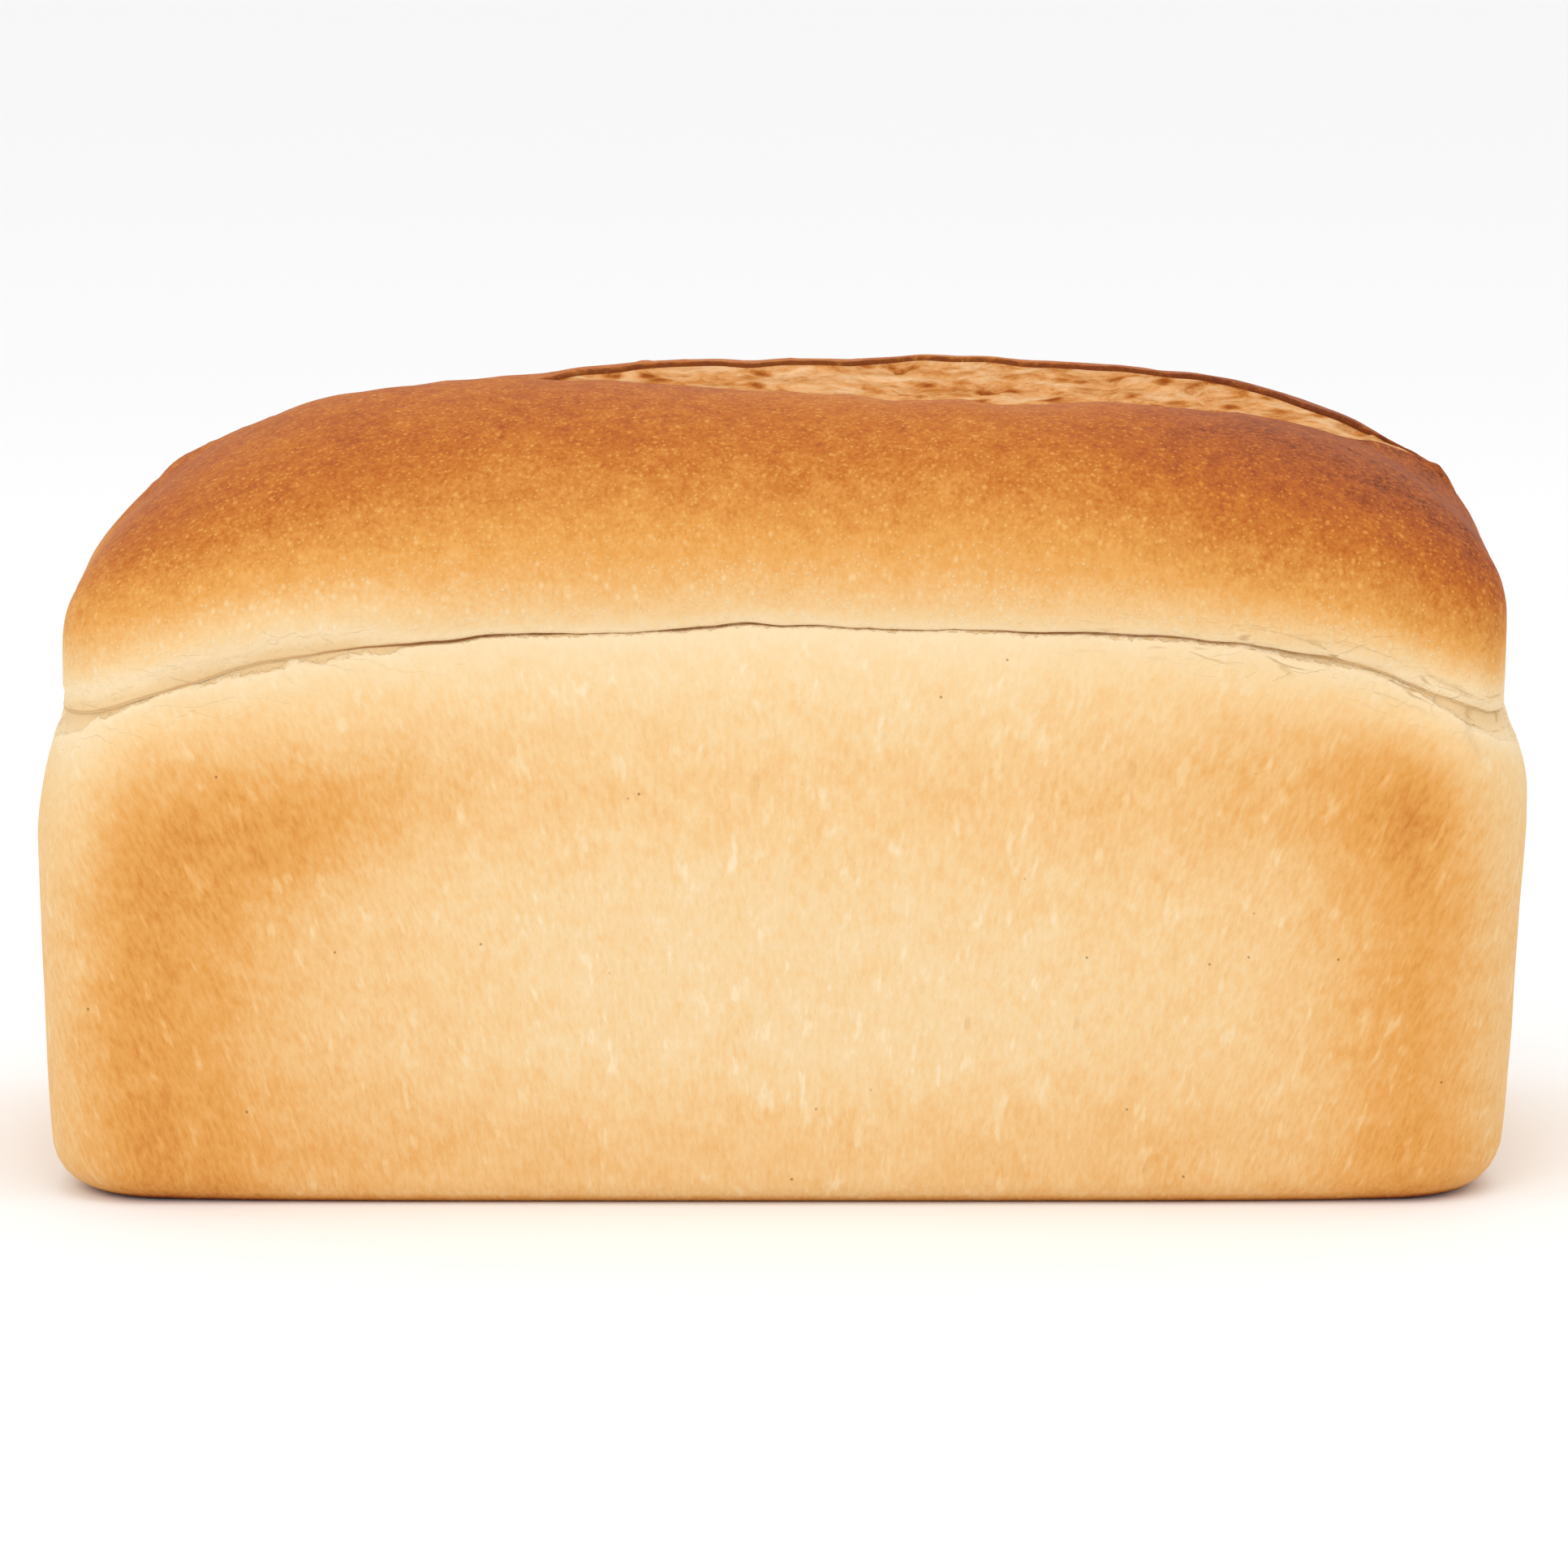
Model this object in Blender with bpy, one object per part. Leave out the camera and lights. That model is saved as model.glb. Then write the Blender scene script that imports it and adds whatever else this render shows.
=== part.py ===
"""Crusty white split tin loaf, baked as one piece and modelled as one closed solid.

Frame: metres, +Z up. +X runs along the loaf, the front side faces -Y, and the loaf
stands on Z = 0 with the middle of its bounding box over the origin.

The surface is a profile carried round the loaf. Rays leave a spine on the X axis and
cross the plan outline. Along each ray the profile runs from the middle of the base
out to the tin-baked wall, up to the tear that the rising crown left all the way
round, over the crown to the lip of the split and down to the crumb on the spine.
"""

import bpy
import numpy as np

MM = 0.001

# The tin-baked body.
LENGTH = 250.0 * MM            # at the widest level of the wall
WIDTH = 121.0 * MM
WIDEST_LEVEL = 62.0 * MM
BASE_TAPER = 2.3 * MM          # how much narrower each side is at the base
BASE_SHIFT = -1.1 * MM         # the base sits a little left, so the right end leans more
BASE_EDGE_SIDES = 4.5 * MM     # rounding between base and wall
BASE_EDGE_ENDS = 10.0 * MM     # its height at the ends
BASE_REACH_ENDS = 13.0 * MM    # and how far it reaches in there
TIN_CORNER = 17.0 * MM         # rounding of the upright corners
WALL_POWER = 0.8               # the wall swells out fastest near the base
CORNER_POWER = 6               # how closely the corner shapes keep to the corners

# The tear between body and crown.
TEAR_AT_CORNERS = 79.0 * MM
TEAR_RISE_FRONT = 18.0 * MM    # how far it arches up on the front
TEAR_RISE_BACK = 16.0 * MM     # on the back
TEAR_RISE_END = 5.5 * MM       # and on the two ends
ARCH_POWER = 3.3               # a higher power arches flatter in the middle
ARCH_POWER_LEAN = 0.5          # and more so towards the right
ARCH_POWER_END = 2.8
SHOULDER_AT_ENDS = 4.6 * MM    # how far the tin shoulder curls inwards
SHOULDER_AT_SIDES = 2.3 * MM
SHOULDER_HEIGHT = 15.0 * MM
SHOULDER_EXTRA_LEFT = 9.0 * MM # more height of the shoulder at the left end
SHOULDER_TO_TEAR = 4.0 * MM    # from the top of the shoulder to the tear
TEAR_DEPTH = 2.2 * MM
TEAR_LIP_IN = 0.5 * MM         # the lower lip of the tear leans in this far
TEAR_HALF_OPENING = 1.5 * MM

# The crown.
CROWN_LENGTH = 241.4 * MM
CROWN_WIDTH = 120.0 * MM
CROWN_CORNER = 26.0 * MM
CROWN_OVERHANG = 5.0 * MM      # height over which the crown bulges out of the tear
CROWN_FULLNESS_SIDES = 0.92    # power of the sine that lifts the crown: lower is fuller
CROWN_FULLNESS_ENDS = 0.4
RIDGE_HEIGHT = 135.1 * MM
RIDGE_AT_ENDS = 107.0 * MM
RIDGE_LEAN = 3.0 * MM          # added at the right end, taken off at the left
RIDGE_REACH = 123.2 * MM
RIDGE_POWER = 4                # the ridge falls by this power of the share of its reach
LEAN_REACH = 30.0 * MM         # length over which left changes into right

# The split along the top.
SPLIT_LEFT = -104.0 * MM
SPLIT_RIGHT = 112.0 * MM
SPLIT_HALF_WIDTH = 12.0 * MM
SPLIT_EXTRA = 9.0 * MM         # more half width where the split gapes most
SPLIT_GAPE_AT = 36.0 * MM
SPLIT_GAPE_REACH = 50.0 * MM
SPLIT_DEPTH = 10.0 * MM
SPLIT_TAPER = 2.4              # the lens is (1 - share^taper)^blunt of its width
SPLIT_BLUNT = 0.8
BACK_LIP_DROP = 3.4 * MM       # the back lip is lower left of the middle
BACK_DROP_AT = -62.0 * MM
BACK_DROP_REACH = 40.0 * MM
FRONT_LIP_DROP = 3.5 * MM      # and the front lip is lower right of it
FRONT_DROP_AT = 62.0 * MM
FRONT_DROP_REACH = 60.0 * MM
LIP_BLEND = 6.0 * MM           # the two drops fade out this close to the spine

# The mesh.
SPINE_HALF = 86.0 * MM
HALF_COLUMNS = 60
BISECTIONS = 40


def rightness(x):
    """-1 at the left end of the loaf, 1 at the right and tanh(x / reach) between."""
    return np.tanh(x / LEAN_REACH)


def hump(value, middle, reach):
    """Bell curve: e to the minus square of the distance from the middle over the reach."""
    return np.exp(-((value - middle) / reach) ** 2)


def rounded_box_reach(root, way, half_length, half_width, corner):
    """Distance along each ray to the wall of an upright box with rounded corners."""
    near = np.zeros(len(root))
    far = np.full(len(root), half_length + half_width)
    inner = np.array([half_length - corner, half_width - corner])
    for _ in range(BISECTIONS):
        middle = (near + far) / 2
        over = np.abs(root + way * middle[:, None]) - inner
        outside = np.hypot(*np.maximum(over, 0).T) + np.minimum(over.max(axis=1), 0) > corner
        far = np.where(outside, middle, far)
        near = np.where(outside, near, middle)
    return near


def split_half_width(x):
    """Half width of the split: a lens that gapes widest right of the middle."""
    middle = (SPLIT_RIGHT + SPLIT_LEFT) / 2
    along = np.clip(np.abs(x - middle) / ((SPLIT_RIGHT - SPLIT_LEFT) / 2), 0, 1)
    gape = hump(x, SPLIT_GAPE_AT, SPLIT_GAPE_REACH)
    return (1 - along ** SPLIT_TAPER) ** SPLIT_BLUNT * (SPLIT_HALF_WIDTH + SPLIT_EXTRA * gape)


def split_reach(root, way, longest):
    """Distance along each ray to the lip of the split."""
    near = np.zeros(len(root))
    far = longest.copy()
    for _ in range(BISECTIONS):
        middle = (near + far) / 2
        point = root + way * middle[:, None]
        outside = np.abs(point[:, 1]) > split_half_width(point[:, 0])
        past_end = (point[:, 0] > SPLIT_RIGHT) | (point[:, 0] < SPLIT_LEFT)
        outside = outside | past_end
        far = np.where(outside, middle, far)
        near = np.where(outside, near, middle)
    return near


def ridge_height(x):
    """Height of the top of the crown along the loaf, fuller at the right end."""
    along = np.clip(np.abs(x) / RIDGE_REACH, 0, 1)
    at_ends = RIDGE_AT_ENDS + RIDGE_LEAN * rightness(x)
    return at_ends + (RIDGE_HEIGHT - at_ends) * (1 - along ** RIDGE_POWER)


def rays():
    """Roots on the spine, directions of the rays and how squarely each meets the wall.

    The first half runs from the +X end over the back to the -X end, evenly spaced
    along the plan outline of the tin. The second half is its mirror at the front.
    """
    half_length = LENGTH / 2
    half_width = WIDTH / 2
    end_run = half_width - TIN_CORNER
    corner_run = TIN_CORNER * np.pi / 2
    side_run = half_length - TIN_CORNER
    quarter = end_run + corner_run + side_run
    run = np.linspace(0, quarter, HALF_COLUMNS // 2 + 1)
    turn = np.clip((run - end_run) / TIN_CORNER, 0, np.pi / 2)
    past_corner = np.maximum(run - end_run - corner_run, 0)
    x = side_run + TIN_CORNER * np.cos(turn) - past_corner
    y = np.minimum(run, end_run) + TIN_CORNER * np.sin(turn)
    back = np.column_stack([np.append(x, -x[-2::-1]), np.append(y, y[-2::-1])])
    front = back[-2:0:-1] * [1, -1]
    target = np.vstack([back, front])
    root = np.column_stack([np.clip(target[:, 0], -SPINE_HALF, SPINE_HALF), np.zeros(len(target))])
    way = target - root
    way = way / np.hypot(*way.T)[:, None]
    past_box = target - np.clip(target, [-side_run, -end_run], [side_run, end_run])
    square = (way * past_box).sum(axis=1) / np.hypot(*past_box.T)
    return root, way, square


def profile(root, way, square):
    """Distances along the rays and heights, one row for each step of the profile."""
    base = rounded_box_reach(root, way, LENGTH / 2 - BASE_TAPER, WIDTH / 2 - BASE_TAPER, TIN_CORNER)
    wall = rounded_box_reach(root, way, LENGTH / 2, WIDTH / 2, TIN_CORNER)
    crown = rounded_box_reach(root, way, CROWN_LENGTH / 2, CROWN_WIDTH / 2, CROWN_CORNER)
    lip = split_reach(root, way, crown)
    at_wall = root + way * wall[:, None]

    # 0 in the middle of a side and 1 at the upright corners.
    along_x = np.abs(at_wall[:, 0]) / (LENGTH / 2)
    along_y = np.abs(at_wall[:, 1]) / (WIDTH / 2)
    rise = np.where(at_wall[:, 1] < 0, TEAR_RISE_FRONT, TEAR_RISE_BACK)
    arch_power = ARCH_POWER + ARCH_POWER_LEAN * rightness(at_wall[:, 0])
    arch = rise * (1 - along_x ** arch_power) + TEAR_RISE_END * (1 - along_y ** ARCH_POWER_END)
    tear = TEAR_AT_CORNERS + arch
    endness = along_x ** CORNER_POWER
    shoulder = (SHOULDER_AT_SIDES + (SHOULDER_AT_ENDS - SHOULDER_AT_SIDES) * endness) / square
    shoulder_height = SHOULDER_HEIGHT + SHOULDER_EXTRA_LEFT * endness * (at_wall[:, 0] < 0)
    edge_up = BASE_EDGE_SIDES + (BASE_EDGE_ENDS - BASE_EDGE_SIDES) * endness
    edge_in = BASE_EDGE_SIDES + (BASE_REACH_ENDS - BASE_EDGE_SIDES) * endness
    neck = wall - shoulder - TEAR_DEPTH
    rim = tear - SHOULDER_TO_TEAR

    def curl(height):
        return np.clip(1 - (rim - height) / shoulder_height, 0, 1) ** 2

    rows = []
    for share in (0.35, 0.7):
        rows.append(((base - edge_in) * share, 0 * base))
    for turn in np.radians([0, 30, 60, 90]):
        rows.append((base - edge_in * (1 - np.sin(turn)), edge_up * (1 - np.cos(turn))))
    for share in (0.22, 0.5, 0.78, 1.0):
        height = edge_up + (WIDEST_LEVEL - edge_up) * share
        rows.append((base + (wall - base) * share ** WALL_POWER - shoulder * curl(height), height))
    for share in (0.35, 0.65, 0.85, 1.0):
        height = WIDEST_LEVEL + (rim - WIDEST_LEVEL) * share
        rows.append((wall - shoulder * curl(height), height))
    rows.append((wall - shoulder - TEAR_LIP_IN, tear - TEAR_HALF_OPENING))
    rows.append((neck, tear))
    rows.append((np.maximum(crown - TEAR_DEPTH / 2, neck), tear + TEAR_HALF_OPENING))
    edge = tear + CROWN_OVERHANG

    at_lip = root + way * lip[:, None]
    behind = np.clip(at_lip[:, 1] / LIP_BLEND, 0, 1)
    in_front = np.clip(-at_lip[:, 1] / LIP_BLEND, 0, 1)
    lip_drop = BACK_LIP_DROP * hump(at_lip[:, 0], BACK_DROP_AT, BACK_DROP_REACH) * behind
    lip_drop += FRONT_LIP_DROP * hump(at_lip[:, 0], FRONT_DROP_AT, FRONT_DROP_REACH) * in_front
    fullness = CROWN_FULLNESS_SIDES + (CROWN_FULLNESS_ENDS - CROWN_FULLNESS_SIDES) * endness
    for turn in np.radians([0, 14, 27, 39, 51, 63, 75, 90]):
        distance = lip + (crown - lip) * np.cos(turn)
        top = ridge_height(root[:, 0] + way[:, 0] * distance) - lip_drop
        rows.append((distance, edge + (top - edge) * np.sin(turn) ** fullness))
    depth_here = SPLIT_DEPTH * split_half_width(root[:, 0]) / (SPLIT_HALF_WIDTH + SPLIT_EXTRA)
    for inward, sunk in ((0.12, 0.22), (0.3, 0.62), (0.6, 0.92), (1.0, 1.0)):
        distance = lip * (1 - inward)
        top = ridge_height(root[:, 0] + way[:, 0] * distance) - lip_drop * (1 - inward)
        rows.append((distance, top - depth_here * sunk))
    return rows


def loaf_mesh():
    """Closed mesh of quads from the profile rows, zipped along the spine."""
    root, way, square = rays()
    rows = profile(root, way, square)
    columns = len(root)
    mirror = np.minimum(np.arange(columns), columns - np.arange(columns))
    spine_x = root[: HALF_COLUMNS + 1, 0]
    spine_place = np.unique(-spine_x, return_inverse=True)[1]
    spine_size = spine_place.max() + 1

    places = []
    for distance, height in rows[:-1]:
        plan = root + way * distance[:, None]
        places.append(np.column_stack([plan, height]))
    ring_points = np.vstack(places)
    spine_points = np.zeros((2 * spine_size, 3))
    crumb_height = rows[-1][1]
    for column in range(HALF_COLUMNS + 1):
        place = spine_place[column]
        spine_points[place] = (spine_x[column], 0, 0)
        spine_points[spine_size + place] = (spine_x[column], 0, crumb_height[column])

    def ring(row):
        return row * columns + np.arange(columns)

    first_spine = len(ring_points)
    below = first_spine + spine_place[mirror]
    above = first_spine + spine_size + spine_place[mirror]
    levels = [below] + [ring(row) for row in range(len(rows) - 1)] + [above]
    faces = []
    for low, high in zip(levels, levels[1:]):
        for column in range(columns):
            after = (column + 1) % columns
            corners = [low[column], low[after], high[after], high[column]]
            face = list(dict.fromkeys(int(corner) for corner in corners))
            if len(face) > 2:
                faces.append(face)

    points = np.vstack([ring_points, spine_points])
    points[:, 0] += BASE_SHIFT * np.clip(1 - points[:, 2] / WIDEST_LEVEL, 0, 1)
    middle = (points.max(axis=0) + points.min(axis=0)) / 2
    points[:, :2] -= middle[:2]
    mesh = bpy.data.meshes.new("loaf")
    mesh.from_pydata(points.tolist(), [], faces)
    mesh.validate()
    mesh.shade_smooth()
    return mesh


def baked_crust():
    """Golden-brown crust: rough, with no metal in it."""
    material = bpy.data.materials.new("baked_crust")
    material.use_nodes = True
    shader = material.node_tree.nodes["Principled BSDF"]
    shader.inputs["Base Color"].default_value = (0.70, 0.37, 0.13, 1)
    shader.inputs["Roughness"].default_value = 0.62
    shader.inputs["Metallic"].default_value = 0
    return material


def build():
    """Empties the scene and makes the loaf."""
    for old in list(bpy.data.objects):
        bpy.data.objects.remove(old, do_unlink=True)
    loaf = bpy.data.objects.new("loaf", loaf_mesh())
    loaf.data.materials.append(baked_crust())
    bpy.context.collection.objects.link(loaf)


build()
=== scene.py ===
"""The looks of a crusty white split tin loaf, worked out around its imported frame."""
import math

import bpy
import numpy as np
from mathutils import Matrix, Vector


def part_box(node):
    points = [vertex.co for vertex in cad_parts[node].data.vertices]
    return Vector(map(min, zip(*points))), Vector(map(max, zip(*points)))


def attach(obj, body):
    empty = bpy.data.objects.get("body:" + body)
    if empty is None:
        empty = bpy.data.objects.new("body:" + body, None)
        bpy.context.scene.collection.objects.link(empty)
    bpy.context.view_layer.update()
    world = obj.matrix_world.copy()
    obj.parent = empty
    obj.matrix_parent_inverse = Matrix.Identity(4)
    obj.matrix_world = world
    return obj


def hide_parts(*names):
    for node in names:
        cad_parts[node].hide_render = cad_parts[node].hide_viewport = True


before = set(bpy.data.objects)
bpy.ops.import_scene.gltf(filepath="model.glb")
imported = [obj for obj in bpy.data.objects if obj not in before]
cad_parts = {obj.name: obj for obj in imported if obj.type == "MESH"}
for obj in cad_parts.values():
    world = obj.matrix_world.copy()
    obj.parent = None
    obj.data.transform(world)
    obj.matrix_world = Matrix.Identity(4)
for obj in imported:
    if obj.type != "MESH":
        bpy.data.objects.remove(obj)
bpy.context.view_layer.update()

MM = 0.001
low, high = (np.array(corner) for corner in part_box("loaf"))
LENGTH, WIDTH, HEIGHT = high - low

# The tin-baked body.
WIDEST_LEVEL = 62.0 * MM
BASE_TAPER = 2.3 * MM
BASE_SHIFT = -1.1 * MM
BASE_EDGE_SIDES = 4.5 * MM
BASE_EDGE_ENDS = 10.0 * MM
BASE_EDGE_REACH_ENDS = 13.0 * MM
TIN_CORNER = 17.0 * MM

# The tear that the rising crown left between itself and the body.
TEAR_AT_CORNERS = 79.0 * MM
TEAR_RISE_FRONT = 18.0 * MM
TEAR_RISE_BACK = 16.0 * MM
TEAR_RISE_END = 5.5 * MM
SHOULDER_AT_ENDS = 4.6 * MM
SHOULDER_AT_SIDES = 2.3 * MM
SHOULDER_HEIGHT = 15.0 * MM
SHOULDER_EXTRA_LEFT = 9.0 * MM
UNDERSIDE_HEIGHT = 7.0 * MM

# The crown.
CROWN_LENGTH = LENGTH - 8.6 * MM
CROWN_WIDTH = WIDTH - 1.0 * MM
CROWN_CORNER = 26.0 * MM
CROWN_FULLNESS_SIDES = 0.92
CROWN_FULLNESS_ENDS = 0.4
RIDGE_AT_ENDS = 107.0 * MM
RIDGE_LEAN = 3.0 * MM
RIDGE_REACH = LENGTH / 2 - 1.8 * MM

# The split along the top.
SPLIT_LEFT = -104.0 * MM
SPLIT_RIGHT = 112.0 * MM
SPLIT_HALF_WIDTH = 12.0 * MM
SPLIT_EXTRA = 9.0 * MM
SPLIT_DEPTH = 10.0 * MM
LIP = 0.9 * MM
BACK_LIP_DROP = 3.4 * MM
FRONT_LIP_DROP = 3.9 * MM

# The mesh.
SPINE_HALF = 86.0 * MM
HALF_COLUMNS = 328
BISECTIONS = 36


def ease(value, start, end):
    """0 up to start, 1 from end on, and 3t^2 - 2t^3 between them."""
    share = np.clip((value - start) / (end - start), 0, 1)
    return share * share * (3 - 2 * share)


def hump(value, middle, reach):
    """Bell curve: e to the minus square of the distance from the middle over the reach."""
    return np.exp(-(((value - middle) / reach) ** 2))


def dice(cell, seed):
    """One number from 0 to 1 for each lattice cell.

    The cell's three whole numbers and the seed are multiplied by large odd numbers,
    added, shifted against themselves twice and cut to 24 bits.
    """
    mixed = cell @ np.array([374761393, 668265263, 1274126177]) + seed * 974634777
    mixed = (mixed ^ (mixed >> 13)) * 1103515245
    mixed = mixed ^ (mixed >> 16)
    return (mixed & 0xFFFFFF) / 0xFFFFFF


def noise(points, size, seed):
    """Smooth random field from -1 to 1: dice at the corners of cells of the given size,

    blended between the eight corners by 3t^2 - 2t^3 along each axis.
    """
    place = points / size
    cell = np.floor(place).astype(np.int64)
    share = place - cell
    share = share * share * (3 - 2 * share)
    total = 0
    for corner in np.ndindex(2, 2, 2):
        weight = np.prod(np.where(corner, share, 1 - share), axis=-1)
        total = total + weight * dice(cell + corner, seed)
    return 2 * total - 1


def layered_noise(points, size, seed, layers=3):
    """Noise at the size, a half and a quarter of it and so on, each half as strong."""
    total = 0
    for layer in range(layers):
        total = total + noise(points, np.asarray(size) / 2**layer, seed + layer) / 2**layer
    return total / 1.5


def nearest_seed(points, size, seed):
    """Distance in cells to the nearest of one random seed point a cell, and its number."""
    place = points / size
    cell = np.floor(place).astype(np.int64)
    nearest = np.full(points.shape[:-1], 9.0)
    number = np.zeros(points.shape[:-1])
    for step in np.ndindex(3, 3, 3):
        other = cell + np.array(step) - 1
        jitter = np.stack([dice(other, seed + axis) for axis in range(3)], axis=-1)
        distance = np.linalg.norm(other + jitter - place, axis=-1)
        closer = distance < nearest
        nearest = np.where(closer, distance, nearest)
        number = np.where(closer, dice(other, seed + 3), number)
    return nearest, number


def at_level(plan, level=0.0):
    """Points of the plan, lifted to one level, so that a noise can be read there."""
    return np.concatenate([plan, np.full(plan.shape[:-1] + (1,), level)], axis=-1)


def rays():
    """Roots on the spine, directions of the rays and how squarely each meets the wall.

    The first half runs from the +X end over the back to the -X end, evenly spaced
    along the rounded-box plan of the tin. The second half is its mirror at the front.
    """
    end_run = WIDTH / 2 - TIN_CORNER
    side_run = LENGTH / 2 - TIN_CORNER
    corner_run = TIN_CORNER * np.pi / 2
    run = np.linspace(0, end_run + corner_run + side_run, HALF_COLUMNS // 2 + 1)
    turn = np.clip((run - end_run) / TIN_CORNER, 0, np.pi / 2)
    past_corner = np.maximum(run - end_run - corner_run, 0)
    x = side_run + TIN_CORNER * np.cos(turn) - past_corner
    y = np.minimum(run, end_run) + TIN_CORNER * np.sin(turn)
    back = np.column_stack([np.append(x, -x[-2::-1]), np.append(y, y[-2::-1])])
    target = np.vstack([back, back[-2:0:-1] * [1, -1]])
    root = target * [1, 0]
    root[:, 0] = np.clip(root[:, 0], -SPINE_HALF, SPINE_HALF)
    way = target - root
    way = way / np.linalg.norm(way, axis=1, keepdims=True)
    past_box = target - np.clip(target, [-side_run, -end_run], [side_run, end_run])
    square = (way * past_box).sum(axis=1) / np.linalg.norm(past_box, axis=1)
    return root, way, square


def reach(root, way, is_outside):
    """Distance along each ray to where is_outside(points) turns true, by halving."""
    near = np.zeros(len(root))
    far = np.full(len(root), LENGTH)
    for _ in range(BISECTIONS):
        middle = (near + far) / 2
        outside = is_outside(root + way * middle[:, None])
        far = np.where(outside, middle, far)
        near = np.where(outside, near, middle)
    return near


def outside_box(length, width, corner):
    """Test for points outside an upright box of this plan with rounded corners."""
    inner = np.array([length / 2 - corner, width / 2 - corner])

    def test(points):
        over = np.abs(points) - inner
        past = np.linalg.norm(np.maximum(over, 0), axis=1) + np.minimum(over.max(axis=1), 0)
        return past > corner

    return test


def split_half_width(x):
    """Half width of the split: a lens that gapes widest right of the middle."""
    middle = (SPLIT_RIGHT + SPLIT_LEFT) / 2
    along = np.clip(np.abs(x - middle) / ((SPLIT_RIGHT - SPLIT_LEFT) / 2), 0, 1)
    gape = SPLIT_EXTRA * hump(x, 36 * MM, 50 * MM)
    return (1 - along**2.4) ** 0.8 * (SPLIT_HALF_WIDTH + gape)


def outside_split(points):
    """Test for points outside the split, whose edge is scalloped and slightly ragged."""
    side = at_level(points * [1, 0], 0) + [0, 0, 1] * np.sign(points[:, 1:2]) * LENGTH
    ragged = noise(side, 23 * MM, 31) * 1.6 + noise(side, 8 * MM, 32) * 1.1 + noise(side, 3 * MM, 35) * 0.5
    ragged = ragged * MM
    half_width = split_half_width(points[:, 0])
    ragged = ragged * np.clip(half_width / (8 * MM), 0, 1)
    past_end = (points[:, 0] > SPLIT_RIGHT) | (points[:, 0] < SPLIT_LEFT)
    return past_end | (np.abs(points[:, 1]) > half_width + ragged)


def ridge_height(x):
    """Height of the crown's ridge along the loaf, fuller at the right end.

    It rises over the ends by 1 - |x / reach|^4, and the left end is lower by the lean,
    the right end higher.
    """
    along = np.clip(np.abs(x) / RIDGE_REACH, 0, 1)
    at_ends = RIDGE_AT_ENDS + RIDGE_LEAN * np.tanh(x / (30 * MM))
    return at_ends + (HEIGHT - at_ends) * (1 - along**4)


def shares(count):
    """Column of evenly spaced shares from 1/count to 1."""
    return np.linspace(0, 1, count + 1)[1:, None]


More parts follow.
